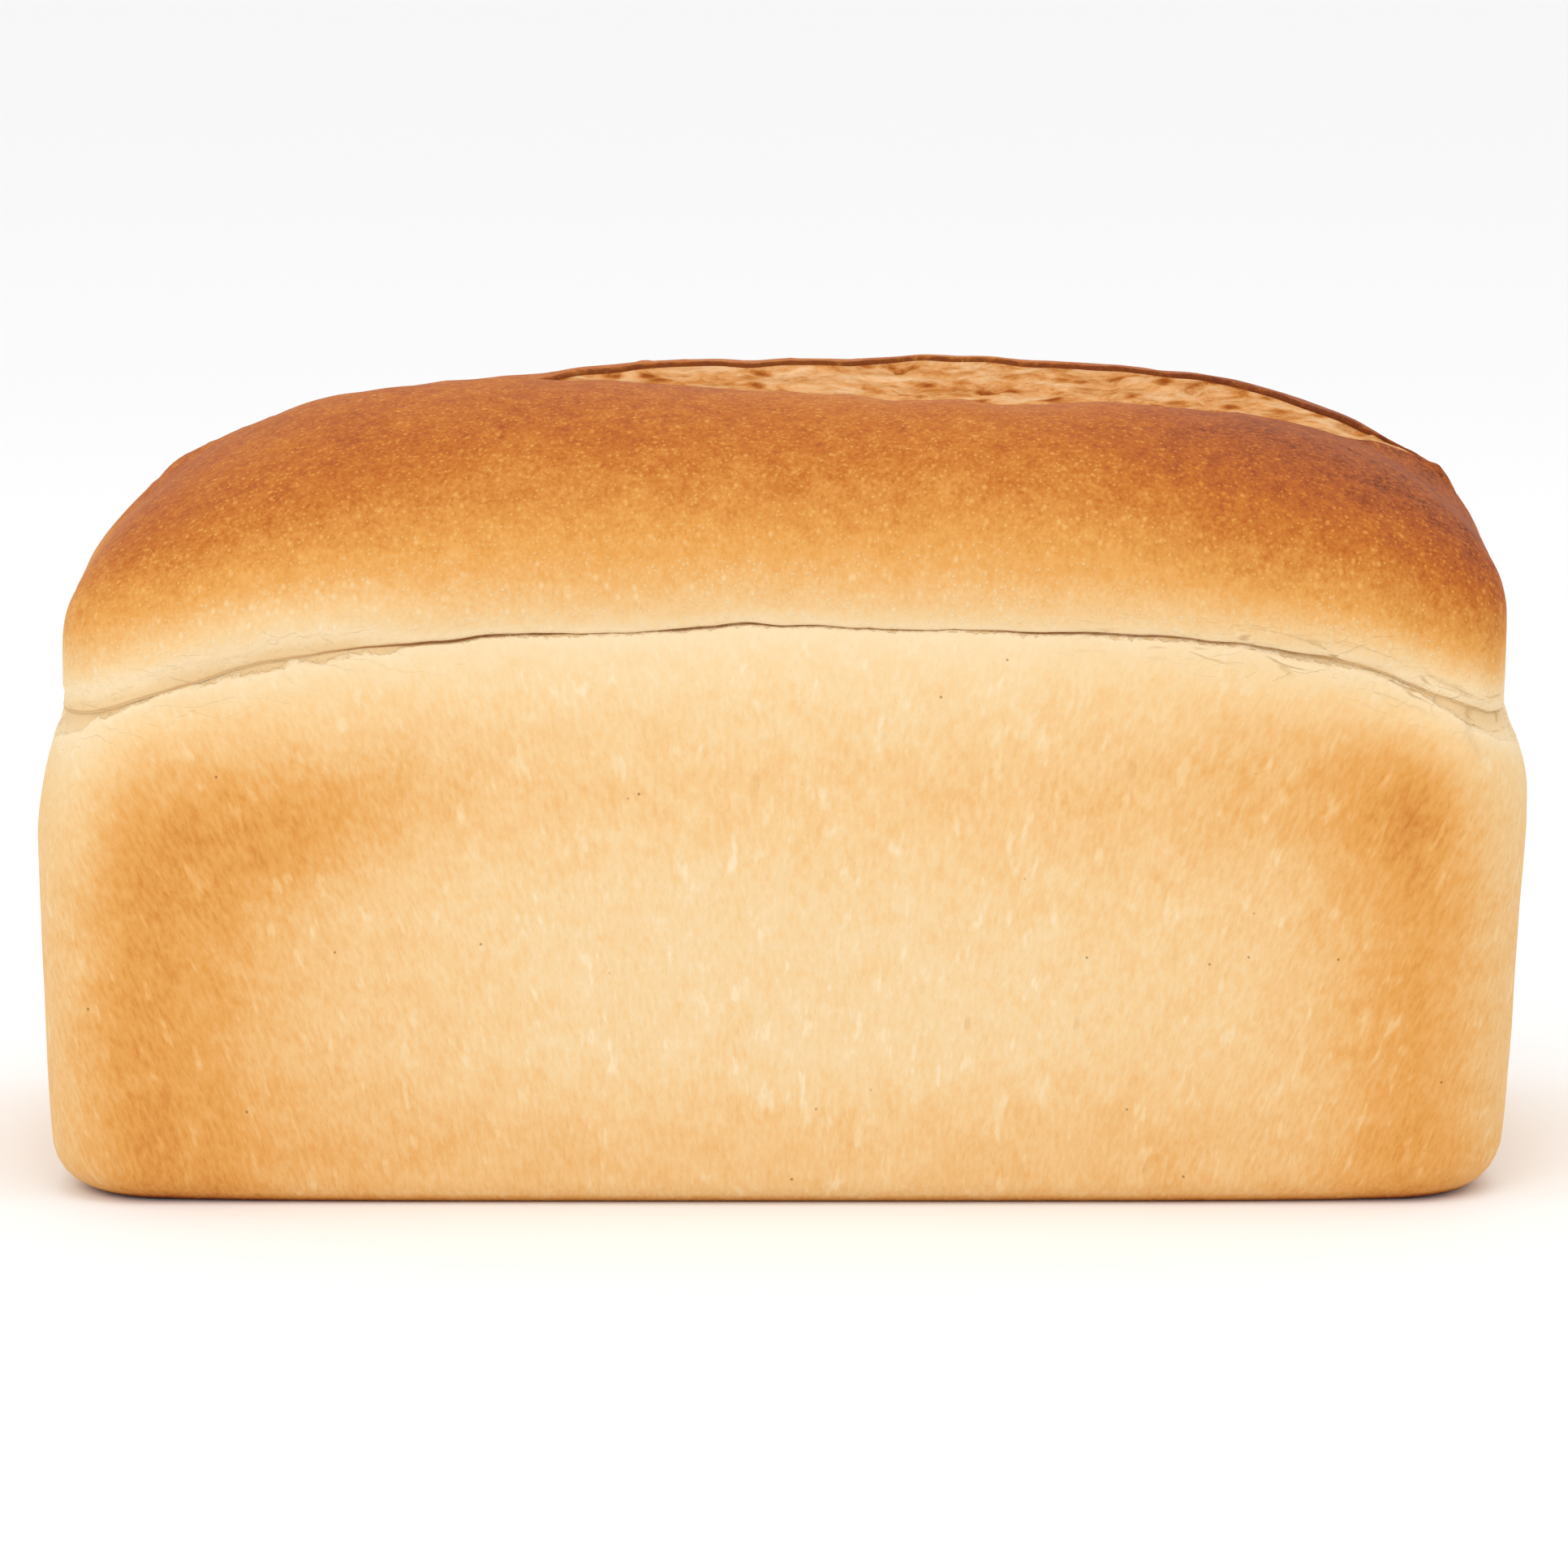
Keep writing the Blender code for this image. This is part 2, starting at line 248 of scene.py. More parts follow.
def loaf_profile(root, way, square):
    """Distances along the rays, heights and height over the tear, row by row.

    Base: flat out to the rounded edge. Body: from the base outline to the widest one
    by the 0.8th power of the height, then curling in by the square of the share of
    the shoulder. Crack: in and out again. Crown: a quarter sine out of the crack,
    then cosine inwards and a power of sine upwards to the lip. Split: a quarter round
    over the lip, then down by 1 - (1 - t)^1.8 to the spine.
    """
    taper = 2 * BASE_TAPER
    base = reach(root, way, outside_box(LENGTH - taper, WIDTH - taper, TIN_CORNER))
    wall = reach(root, way, outside_box(LENGTH, WIDTH, TIN_CORNER))
    crown = reach(root, way, outside_box(CROWN_LENGTH, CROWN_WIDTH, CROWN_CORNER))
    lip = reach(root, way, outside_split)
    at_wall = root + way * wall[:, None]
    along_x = np.abs(at_wall[:, 0]) / (LENGTH / 2)
    along_y = np.abs(at_wall[:, 1]) / (WIDTH / 2)

    rise = np.where(at_wall[:, 1] < 0, TEAR_RISE_FRONT, TEAR_RISE_BACK)
    bow = 3.3 + 0.5 * np.tanh(at_wall[:, 0] / (30 * MM))
    tear = TEAR_AT_CORNERS + rise * (1 - along_x**bow) + TEAR_RISE_END * (1 - along_y**2.8)
    outline = at_level(at_wall)
    tear = tear + noise(outline, 24 * MM, 11) * 0.7 * MM + noise(outline, 7 * MM, 12) * 0.45 * MM
    tear = tear + noise(outline, 2.8 * MM, 14) * 0.15 * MM
    endness = along_x**6
    shoulder = (SHOULDER_AT_SIDES + (SHOULDER_AT_ENDS - SHOULDER_AT_SIDES) * endness) / square
    left_end = ease(-at_wall[:, 0], 60 * MM, 115 * MM)
    shoulder_height = SHOULDER_HEIGHT + SHOULDER_EXTRA_LEFT * left_end
    ends = ease(np.abs(at_wall[:, 0]), 50 * MM, 100 * MM)
    gaping = ease(noise(outline, 14 * MM, 13), -0.5, 0.5)
    crack = (1 - 0.9 * ends) * (0.3 + 0.7 * gaping) * MM
    edge_up = BASE_EDGE_SIDES + (BASE_EDGE_ENDS - BASE_EDGE_SIDES) * endness
    edge_in = BASE_EDGE_SIDES + (BASE_EDGE_REACH_ENDS - BASE_EDGE_SIDES) * endness

    def body(height):
        spread = np.clip((height - edge_up) / (WIDEST_LEVEL - edge_up), 0, 1) ** 0.8
        curl = np.clip(1 - (tear - height) / shoulder_height, 0, 1) ** 2
        return base + (wall - base) * spread - shoulder * curl

    rows = []
    flat = (base - edge_in) * shares(3)
    rows.append((flat, 0 * flat))
    turn = shares(7) * np.pi / 2
    rows.append((base - edge_in * (1 - np.sin(turn)), edge_up * (1 - np.cos(turn))))
    torn_from = tear - 13 * MM
    height = edge_up + (torn_from - edge_up) * shares(26)
    rows.append((body(height), height))
    height = torn_from + (tear - 0.2 * MM - torn_from) * shares(34)
    rows.append((body(height), height))
    mouth = body(tear)
    crack_rows = ((0.5, -0.2), (1.0, 0.0), (0.8, 0.7), (0.1, 1.0))
    opening = (0.15 + 0.3 * gaping) * MM
    rows.append((
        np.array([mouth - crack * inward for inward, up in crack_rows]),
        np.array([tear + opening * up for inward, up in crack_rows]),
    ))
    turn = shares(16) * np.pi / 2
    fullest = np.maximum(crown, mouth)
    under = mouth + (fullest - mouth) * np.sin(turn)
    rows.append((under, tear + opening + (UNDERSIDE_HEIGHT - opening) * shares(16)))

    edge = tear + UNDERSIDE_HEIGHT
    at_lip = root + way * lip[:, None]
    behind = np.clip(at_lip[:, 1] / (6 * MM), 0, 1)
    lip_drop = BACK_LIP_DROP * hump(at_lip[:, 0], -62 * MM, 40 * MM) * behind
    in_front = np.clip(-at_lip[:, 1] / (6 * MM), 0, 1)
    lip_drop = lip_drop + FRONT_LIP_DROP * hump(at_lip[:, 0], 58 * MM, 80 * MM) * in_front
    side = at_level(at_lip * [1, 0], 0) + [0, 0, 1] * np.sign(at_lip[:, 1:2]) * LENGTH
    lip_drop = lip_drop - noise(side, 15 * MM, 33) * 0.6 * MM - noise(side, 6 * MM, 34) * 0.45 * MM
    fullness = CROWN_FULLNESS_SIDES + (CROWN_FULLNESS_ENDS - CROWN_FULLNESS_SIDES) * endness
    turn = shares(34) ** 1.2 * np.pi / 2
    distance = lip + (fullest - lip) * np.cos(turn)
    top = ridge_height(root[:, 0] + way[:, 0] * distance) - lip_drop * shares(34) ** 2
    rows.append((distance, edge + (top - edge) * np.sin(turn) ** fullness))

    lip_size = LIP * np.clip(split_half_width(at_lip[:, 0]) / (4 * MM), 0.1, 1)
    turn = shares(6) * np.pi / 2
    distance = lip - lip_size * np.sin(turn)
    top = ridge_height(root[:, 0] + way[:, 0] * distance) - lip_drop
    rows.append((distance, top - lip_size * (1 - np.cos(turn))))
    inward = shares(22)[:-1]
    distance = (lip - lip_size) * (1 - inward)
    crumb_x = root[:, 0] + way[:, 0] * distance
    depth = SPLIT_DEPTH * (split_half_width(crumb_x) / (SPLIT_HALF_WIDTH + SPLIT_EXTRA)) ** 0.8
    sink = lip_size + (depth - lip_size) * (1 - (1 - inward) ** 1.8)
    rows.append((distance, ridge_height(crumb_x) - lip_drop * (1 - inward) - sink))
    counts = [len(block[0]) for block in rows]
    distance = np.vstack([block[0] for block in rows])
    height = np.vstack([block[1] for block in rows])
    return distance, height, tear, counts


def smooth_normals(points):
    """Unit normals of the grid: the cross product of the differences along both ways."""
    across = np.roll(points, -1, axis=1) - np.roll(points, 1, axis=1)
    up = np.gradient(points, axis=0)
    normal = np.cross(across, up)
    return normal / np.maximum(np.linalg.norm(normal, axis=-1, keepdims=True), 1e-12)


def past_torn_edge(points, above):
    """Distance past the ragged edge of the unbroken skin, less than 0 in the torn strip.

    It is the distance from the tear less the width of the strip, which is a few
    tenths of a millimetre in the middle of the sides and grows towards the ends,
    with noises of three sizes that grow with it.
    """
    x = points[..., 0]
    flat = points * [1, 1, 0.6]
    left = ease(-x, 42 * MM, 85 * MM)
    right = ease(x, 45 * MM, 110 * MM)
    at_end = ease(np.abs(x), 112 * MM, 122 * MM)
    ragged = noise(flat, 12 * MM, 21) + noise(flat, 5 * MM, 22) * 0.6 + noise(flat, 2.2 * MM, 23) * 0.3
    corner = ease(x, 100 * MM, 117 * MM) * (points[..., 1] < 0)
    below = 0.1 + 1.1 * left + 0.3 * right + 1.3 * at_end + 3.0 * corner
    below = below + ragged * (0.15 + 1.7 * left + 0.5 * right + 0.9 * at_end)
    frayed = noise(flat, 15 * MM, 24) + noise(flat, 6 * MM, 25) * 0.6 + noise(flat, 2.4 * MM, 26) * 0.3
    over = 0.1 + 3.0 * left + 0.7 * right + frayed * (0.1 + 2.0 * left + 0.6 * right)
    return np.where(above > 0, above - over * MM, -above - below * MM)


def bake_level(points, above):
    """How dark the crust is baked, from 0, cream, to 1, nearly black.

    The body is 0.14 with a browner belt at 70 mm, a browner lower rim, and a band
    just inside each upright edge. The crown starts at 0.14 over the tear and gains
    0.62 over 34 mm of height, and more towards the right end.
    """
    x, y, z = np.moveaxis(points, -1, 0)
    front = y < 0
    patchy = layered_noise(points, 30 * MM, 41) * 0.03 + layered_noise(points, 9 * MM, 45) * 0.02

    body = 0.14 + 0.11 * hump(z, 70 * MM, 12 * MM) + 0.15 * ease(-z, -28 * MM, -8 * MM) * (1 - 0.8 * ease(np.abs(x), 60 * MM, 95 * MM))
    body = body + 0.08 * ease(np.abs(x), 20 * MM, 80 * MM)
    past_band = np.abs(x) - 105.5 * MM
    reach_inwards = np.where(x < 0, 24 * MM, 18 * MM)
    band = hump(past_band, 0, np.where(past_band > 0, 13 * MM, reach_inwards))
    body = body + np.where(x < 0, 0.35, 0.29) * band * ease(-above, 1 * MM, 34 * MM)
    body = body - 0.14 * ease(np.abs(x), 107 * MM, 121 * MM) * ease(z, 48 * MM, 72 * MM)
    body = body + 0.12 * hump(y, 0, 26 * MM) * ease(np.abs(x), 118 * MM, 124 * MM)
    left_patch = hump(x, -76 * MM, 18 * MM) * hump(z - 0.3 * (x + 76 * MM), 64 * MM, 10 * MM)
    right_patch = hump(x, 103 * MM, 8 * MM) * hump(z, 67 * MM, 8 * MM)
    upper_right = ease(x, 50 * MM, 90 * MM) * hump(z, 78 * MM, 12 * MM)
    body = body + front * (0.15 * left_patch + 0.09 * right_patch + 0.07 * upper_right)
    body = body + 0.35 * ease(-z, -1.8 * MM, -0.2 * MM) + patchy

    share = np.clip(above / (34 * MM), 0, 1)
    crown = 0.14 + 0.62 * (1 - (1 - share) ** 1.8)
    crown = crown + 0.13 * ease(x, 30 * MM, 88 * MM) * ease(above, 3 * MM, 12 * MM)
    crown = crown + 0.05 * ease(-x, 40 * MM, 90 * MM) * ease(above, 14 * MM, 27 * MM)
    crown = crown - 0.15 * ease(-x, 45 * MM, 80 * MM) * (1 - ease(above, 6 * MM, 16 * MM))
    crown = crown - 0.08 * ease(x, 85 * MM, 108 * MM) * (1 - ease(above, 2 * MM, 9 * MM))
    crown = crown + 0.05 * hump(x, 118 * MM, 9 * MM) * ease(above, 12 * MM, 22 * MM)
    crown = crown + 0.04 * hump(x, -25 * MM, 30 * MM) * ease(above, 26 * MM, 35 * MM)
    crown = np.minimum(crown + patchy * (0.5 + share), 0.9)
    return np.clip(np.where(above > 0, crown, body), 0, 1)


def crumb_relief(points):
    """Torn crumb in the split: strands drawn out along the loaf and open holes."""
    drawn = points / [3.2, 1, 1]
    strands = noise(drawn, 1.7 * MM, 51) * 0.35 + noise(drawn, 4.5 * MM, 52) * 0.6
    nearest, number = nearest_seed(points / [2.0, 1, 1], 3.4 * MM, 54)
    holes = (1 - ease(nearest, 0.1, 0.32 + 0.2 * number)) * (number > 0.35)
    return (strands - 0.8 * holes) * MM


def loaf_surface():
    """Points of the grid with all relief, and the values that the materials read.

    Relief goes along the normals: slow swells over the whole loaf, grain and blisters
    on the crust, a step down to the neck in the torn zone, and strands and holes in
    the crumb.
    """
    root, way, square = rays()
    distance, height, tear, counts = loaf_profile(root, way, square)
    plan = root + way * distance[..., None]
    points = np.concatenate([plan, height[..., None]], axis=-1)
    points[..., 0] += BASE_SHIFT * np.clip(1 - points[..., 2] / WIDEST_LEVEL, 0, 1)
    above = height - tear

    starts = np.cumsum([0] + counts)
    row = np.arange(len(distance))[:, None] + 0 * above
    on_base = row < starts[1]
    in_split = row >= starts[-3]
    in_crumb = row >= starts[-2]
    at_lip = distance[starts[-3] - 1]
    past_lip = at_lip - distance
    above = np.where(row < starts[4], np.minimum(above, -0.05 * MM), np.maximum(above, 0.05 * MM))

    past_edge = np.where(in_split | on_base, 20 * MM, past_torn_edge(points, above))
    torn = ease(-past_edge, -0.4 * MM, 0.5 * MM)
    level = bake_level(points, above)
    crown_share = ease(above, 4 * MM, 16 * MM)

    swell = noise(points, 58 * MM, 61) * 0.7 + noise(points, 21 * MM, 62) * (0.16 + 0.22 * crown_share)
    grain = noise(points, 3.1 * MM, 63) * 0.06 * crown_share + noise(points, 7 * MM, 64) * 0.08
    nearest, number = nearest_seed(points, 4.2 * MM, 65)
    blisters = (1 - ease(nearest, 0.0, 0.42)) * (number > 0.7) * 0.28 * crown_share
    skin = swell + grain + blisters
    ends = ease(np.abs(points[..., 0]), 45 * MM, 104 * MM)
    wrinkles = noise(points / [3, 3, 1], 2.6 * MM, 66) * 0.3 * ends * hump(above, 0, 5 * MM)
    neck = torn * (0.25 + 0.75 * ends) * np.where(above < 0, 1, 0.35) - wrinkles
    crease = hump(points[..., 1], 0, 1.8 * MM) * ease(np.abs(points[..., 0]), 100 * MM, 116 * MM)
    crease = 1.5 * crease * ease(above, 10 * MM, 20 * MM) * ease(-past_lip, 0, 7 * MM)
    wander = points[..., 0] - 115 * MM + noise(points, 5 * MM, 68) * 1.8 * MM
    corner_crack = hump(wander, 0, 0.8 * MM) * (points[..., 1] < -0.3 * WIDTH)
    corner_crack = corner_crack * ease(points[..., 2], 73 * MM, 76 * MM) * (above < 0)
    relief = (skin - neck - crease - 0.6 * corner_crack) * MM * ~in_split
    relief = relief + np.where(in_split, swell * MM, 0)
    relief = relief + np.where(in_crumb, crumb_relief(points) * ease(past_lip, LIP, 3 * LIP), 0)
    relief = relief * ease(points[..., 2], 0, 6 * MM)
    # Painted shade in the crack: its deepest rows get a warm brown, stronger in the middle of the sides than at the
    # ends.
    deep = (row >= starts[4] + 1) & (row < starts[4] + 3)
    crack_shade = deep * (0.35 + (1 - ends) * 0.5 * ease(noise(points, 9 * MM, 67), -0.5, 0.2))

    outwards = smooth_normals(points)
    by_crack = slice(starts[4] - 2, starts[5] + 1)
    outwards[by_crack] = np.concatenate([way, 0 * way[:, :1]], axis=1)
    moved = points + outwards * relief[..., None]
    moved[..., 2] = np.where(on_base, 0, np.maximum(moved[..., 2], 0))
    pitted = hump(points[..., 0], 20 * MM, 45 * MM) * hump(points[..., 2], 33 * MM, 11 * MM)
    values = {
        "bake": level,
        "pitted": pitted,
        # Painted shade of the crack's deep rows and of the corner crack's groove.
        "crack_shade": crack_shade + 0.12 * corner_crack,
        "past_edge": past_edge / MM,
        "above_tear": above / MM,
        "past_lip": past_lip / MM,
    }
    spine_height = moved[-1, :, 2]
    return moved, root, spine_height, starts, values


def baked_loaf():
    """The whole loaf as one closed mesh, zipped along the spine at the base and split."""
    points, root, spine_height, starts, values = loaf_surface()
    rows, columns = points.shape[:2]
    mirror = np.minimum(np.arange(columns), columns - np.arange(columns))
    spine_x, place = np.unique(root[: HALF_COLUMNS + 1, 0], return_inverse=True)
    size = len(spine_x)
    below = np.column_stack([spine_x + BASE_SHIFT, np.zeros(size), np.zeros(size)])
    level = np.bincount(place[mirror], spine_height, size) / np.bincount(place[mirror], minlength=size)
    above = np.column_stack([spine_x, np.zeros(size), level])
    everything = np.vstack([points.reshape(-1, 3), below, above])

    ring = np.arange(rows * columns).reshape(rows, columns)
    first = rows * columns
    levels = np.vstack([first + place[mirror][None], ring, first + size + place[mirror][None]])
    after = np.roll(levels, -1, axis=1)
    corners = np.stack([levels[:-1], after[:-1], after[1:], levels[1:]], axis=-1).reshape(-1, 4)
    face_row = np.repeat(np.arange(rows + 1), columns)
    low_fan = corners[:, 0] == corners[:, 1]
    high_fan = corners[:, 2] == corners[:, 3]
    quads = corners[~low_fan & ~high_fan]
    fans = np.vstack([corners[low_fan][:, [1, 2, 3]], corners[high_fan][:, [0, 1, 2]]])
    faces = quads.tolist() + fans.tolist()
    face_rows = np.concatenate([face_row[~low_fan & ~high_fan], face_row[low_fan], face_row[high_fan]])

    mesh = bpy.data.meshes.new("baked_loaf")
    mesh.from_pydata(everything.tolist(), [], faces)
    for name, value in values.items():
        spread = np.zeros(len(everything))
        spread[:first] = value.ravel()
        spread[first + size:] = np.bincount(place[mirror], value[-1], size) / np.bincount(place[mirror], minlength=size)
        spread[first: first + size] = value[0].mean()
        mesh.attributes.new(name, "FLOAT", "POINT").data.foreach_set("value", spread)
    mesh.materials.append(tin_baked_crust())
    mesh.materials.append(oven_browned_crust())
    mesh.materials.append(torn_crumb())
    kind = np.digitize(face_rows, [starts[5], starts[-2]])
    mesh.polygons.foreach_set("material_index", kind.astype(np.int32))
    mesh.shade_smooth()
    loaf = bpy.data.objects.new("baked_loaf", mesh)
    bpy.context.collection.objects.link(loaf)
    return loaf


def linear(colour):
    """Turns an sRGB hex colour such as "F8CD92" into linear red, green, blue and 1."""
    parts = [int(colour[place: place + 2], 16) / 255 for place in (0, 2, 4)]
    return [part / 12.92 if part <= 0.04045 else ((part + 0.055) / 1.055) ** 2.4 for part in parts] + [1]


def add_node(tree, kind, settings=(), links=()):
    """Adds one shader node. A setting is a property or an input socket's value."""
    node = tree.nodes.new(kind)
    for name, value in dict(settings).items():
        if isinstance(name, str) and hasattr(node, name):
            setattr(node, name, value)
        else:
            node.inputs[name].default_value = value
    for name, source in dict(links).items():
        tree.links.new(source, node.inputs[name])
    return node


def new_material(name, roughness, gloss):
    """A material with its Principled shader, its node tree and the object's place."""
    material = bpy.data.materials.new(name)
    material.use_nodes = True
    tree = material.node_tree
    shader = tree.nodes["Principled BSDF"]
    shader.inputs["Roughness"].default_value = roughness
    shader.inputs["IOR"].default_value = 1.45
    shader.inputs["Specular IOR Level"].default_value = gloss
    place = add_node(tree, "ShaderNodeTexCoord").outputs["Object"]
    return material, tree, shader, place


# Crust from raw dough to nearly burnt, by bake level.
BAKE_COLOURS = (
    (0.00, "EED7B0"),
    (0.08, "EACEA1"),
    (0.16, "E9C895"),
    (0.24, "E8C088"),
    (0.32, "E5B87C"),
    (0.40, "E2AE6C"),
    (0.48, "DEA35C"),
    (0.56, "D99A4E"),
    (0.62, "D28F45"),
    (0.68, "CA843C"),
    (0.74, "C07530"),
    (0.80, "B66628"),
    (0.86, "A85827"),
    (0.92, "944A22"),
    (1.00, "5E2C12"),
)


def bake_ramp(tree, level):
    """The crust's colour at a bake level, which browns through BAKE_COLOURS."""
    ramp = add_node(tree, "ShaderNodeValToRGB", {}, {"Fac": level})
    stops = ramp.color_ramp.elements
    while len(stops) < len(BAKE_COLOURS):
        stops.new(0.5)
    for stop, (position, colour) in zip(stops, BAKE_COLOURS):
        stop.position = position
        stop.color = linear(colour)
    return ramp.outputs["Color"]


def torn_rim(tree, place, level, reach, ledge, soft):
    """Crust colour and relief in mm near the torn edge: paler skin, painted shade in the torn strip and painted shade
    in the cracks.

    The skin pales towards the edge by 1 less e to the minus distance over reach, and
    ledge says how sharply it breaks off there, from 0 to 1.
    """
    past = add_node(tree, "ShaderNodeAttribute", {"attribute_name": "past_edge"}).outputs["Fac"]
    above = add_node(tree, "ShaderNodeAttribute", {"attribute_name": "above_tear"}).outputs["Fac"]
    crack_shade = add_node(tree, "ShaderNodeAttribute", {"attribute_name": "crack_shade"}).outputs["Fac"]
    # The edge is frayed by about 0.5 mm.
    fray = add_node(
        tree,
        "ShaderNodeTexNoise",
        {"Scale": 1 / (1.5 * MM), "Detail": 3.0, "Roughness": 0.6},
        {"Vector": place},
    ).outputs["Fac"]
    frayed = add_node(
        tree,
        "ShaderNodeMapRange",
        {"From Min": 0.25, "From Max": 0.75, "To Min": -0.8, "To Max": 0.8},
        {"Value": fray},
    ).outputs[0]
    edge = add_node(tree, "ShaderNodeMath", {"operation": "ADD"}, {0: past, 1: frayed}).outputs[0]
    inside = add_node(tree, "ShaderNodeMath", {"operation": "MAXIMUM", 1: 0.0}, {0: edge}).outputs[0]
    spent = add_node(
        tree, "ShaderNodeMath", {"operation": "MULTIPLY", 1: -1 / reach}, {0: inside}
    ).outputs[0]
    left = add_node(tree, "ShaderNodeMath", {"operation": "EXPONENT"}, {0: spent}).outputs[0]
    rim = add_node(tree, "ShaderNodeMath", {"operation": "SUBTRACT", 0: 1.0}, {1: left}).outputs[0]
    baked = add_node(tree, "ShaderNodeMath", {"operation": "MULTIPLY"}, {0: level, 1: rim}).outputs[0]
    colour = bake_ramp(tree, baked)

    # Shade in the torn strip, deepest right over the ledge of the body's skin.
    off_tear = add_node(tree, "ShaderNodeMath", {"operation": "ABSOLUTE"}, {0: above}).outputs[0]
    shade = add_node(
        tree,
        "ShaderNodeMapRange",
        {"interpolation_type": "SMOOTHSTEP", "From Min": 0.0, "From Max": 6.0, "To Min": 0.75, "To Max": 0.0},
        {"Value": off_tear},
    ).outputs[0]
    open_strip = add_node(
        tree,
        "ShaderNodeMapRange",
        {"From Min": -soft, "From Max": 0.3 * soft, "To Min": 1.0, "To Max": 0.0},
        {"Value": edge},
    ).outputs[0]
    shaded = add_node(
        tree, "ShaderNodeMath", {"operation": "MULTIPLY"}, {0: shade, 1: open_strip}
    ).outputs[0]
    colour = add_node(
        tree, "ShaderNodeMix", {"data_type": "RGBA", 7: linear("E0BC86")}, {0: shaded, 6: colour}
    ).outputs[2]

    # Hairline cracks 0.3 mm wide and some 15 mm long, which step down to the right, sunk in the relief and darkened
    # with painted shade.
    axes = add_node(tree, "ShaderNodeSeparateXYZ", {}, {"Vector": place})
    slope = add_node(
        tree, "ShaderNodeMath", {"operation": "MULTIPLY", 1: 0.06}, {0: axes.outputs["X"]}
    ).outputs[0]
    level_line = add_node(
        tree, "ShaderNodeMath", {"operation": "MULTIPLY_ADD", 1: MM}, {0: above, 2: slope}
    ).outputs[0]
    along = add_node(
        tree,
        "ShaderNodeCombineXYZ",
        {},
        {"X": axes.outputs["X"], "Y": axes.outputs["Y"], "Z": level_line},
    ).outputs[0]
    drawn = add_node(tree, "ShaderNodeMapping", {"Scale": (0.14, 0.14, 1)}, {"Vector": along}).outputs[0]
    ripple = add_node(
        tree,
        "ShaderNodeTexNoise",
        {"Scale": 1 / (1.6 * MM), "Detail": 2.0, "Roughness": 0.5},
        {"Vector": drawn},
    )
    wavy = add_node(
        tree, "ShaderNodeVectorMath", {"operation": "MULTIPLY_ADD", 1: (1.2 * MM,) * 3},
        {0: ripple.outputs["Color"], 2: drawn},
    ).outputs[0]
    from_line = add_node(
        tree,
        "ShaderNodeTexVoronoi",
        {"feature": "DISTANCE_TO_EDGE", "Scale": 1 / (2.6 * MM)},
        {"Vector": wavy},
    ).outputs["Distance"]
    line = add_node(
        tree,
        "ShaderNodeMapRange",
        {"From Min": 0.015, "From Max": 0.06, "To Min": 1.0, "To Max": 0.0},
        {"Value": from_line},
    ).outputs[0]
    broken = add_node(
        tree,
        "ShaderNodeMapRange",
        {"From Min": 0.45, "From Max": 0.58, "To Min": 0.0, "To Max": 1.0},
        {"Value": ripple.outputs["Fac"]},
    ).outputs[0]
    line = add_node(tree, "ShaderNodeMath", {"operation": "MULTIPLY"}, {0: line, 1: broken}).outputs[0]
    near = add_node(
        tree,
        "ShaderNodeMapRange",
        {"interpolation_type": "SMOOTHSTEP", "From Min": 1.0, "From Max": 5.0, "To Min": 0.6, "To Max": 0.0},
        {"Value": off_tear},
    ).outputs[0]
    here = add_node(tree, "ShaderNodeMath", {"operation": "MULTIPLY"}, {0: line, 1: near}).outputs[0]
    to_end = add_node(
        tree,
        "ShaderNodeMapRange",
        {"From Min": 35 * MM, "From Max": 75 * MM, "To Min": 0.0, "To Max": 1.0},
        {"Value": axes.outputs["X"]},
    ).outputs[0]
    hairline = add_node(tree, "ShaderNodeMath", {"operation": "MULTIPLY"}, {0: here, 1: to_end}).outputs[0]
    # Painted shade along the hairline cracks: a darker tan over the crust colour.
    colour = add_node(
        tree, "ShaderNodeMix", {"data_type": "RGBA", 7: linear("B88E54")}, {0: hairline, 6: colour}
    ).outputs[2]
    # Painted shade in the crack: the deep crack rows and the corner crack turn warm brown.
    colour = add_node(
        tree, "ShaderNodeMix", {"data_type": "RGBA", 7: linear("A5662C")}, {0: crack_shade, 6: colour}
    ).outputs[2]
    step = add_node(
        tree,
        "ShaderNodeMapRange",
        {"interpolation_type": "SMOOTHSTEP", "From Min": -0.5, "From Max": 0.3, "To Min": 0.0, "To Max": 0.22 * ledge},
        {"Value": edge},
    ).outputs[0]
    # Thin flakes of skin, each some 4 mm across and lapped over the next.
    flat = add_node(tree, "ShaderNodeMapping", {"Scale": (0.7, 0.7, 1.6)}, {"Vector": place}).outputs[0]
    flake = add_node(
        tree,
        "ShaderNodeTexNoise",
        {"Scale": 1 / (14 * MM), "Detail": 4.0, "Roughness": 0.5},
        {"Vector": flat},
    ).outputs["Fac"]
    many = add_node(tree, "ShaderNodeMath", {"operation": "MULTIPLY", 1: 8.0}, {0: flake}).outputs[0]
    share = add_node(tree, "ShaderNodeMath", {"operation": "FRACT"}, {0: many}).outputs[0]
    lap = add_node(
        tree,
        "ShaderNodeMapRange",
        {"interpolation_type": "SMOOTHSTEP", "From Min": 0.0, "From Max": 0.15, "To Min": 1.0, "To Max": 0.0},
        {"Value": share},
    ).outputs[0]
    thick = add_node(tree, "ShaderNodeMath", {"operation": "ADD"}, {0: share, 1: lap}).outputs[0]
    by_tear = add_node(
        tree,
        "ShaderNodeMapRange",
        {"interpolation_type": "SMOOTHSTEP", "From Min": 2.0, "From Max": 11.0, "To Min": 0.14, "To Max": 0.0},
        {"Value": off_tear},
    ).outputs[0]
    far = add_node(tree, "ShaderNodeMath", {"operation": "ABSOLUTE"}, {0: axes.outputs["X"]}).outputs[0]
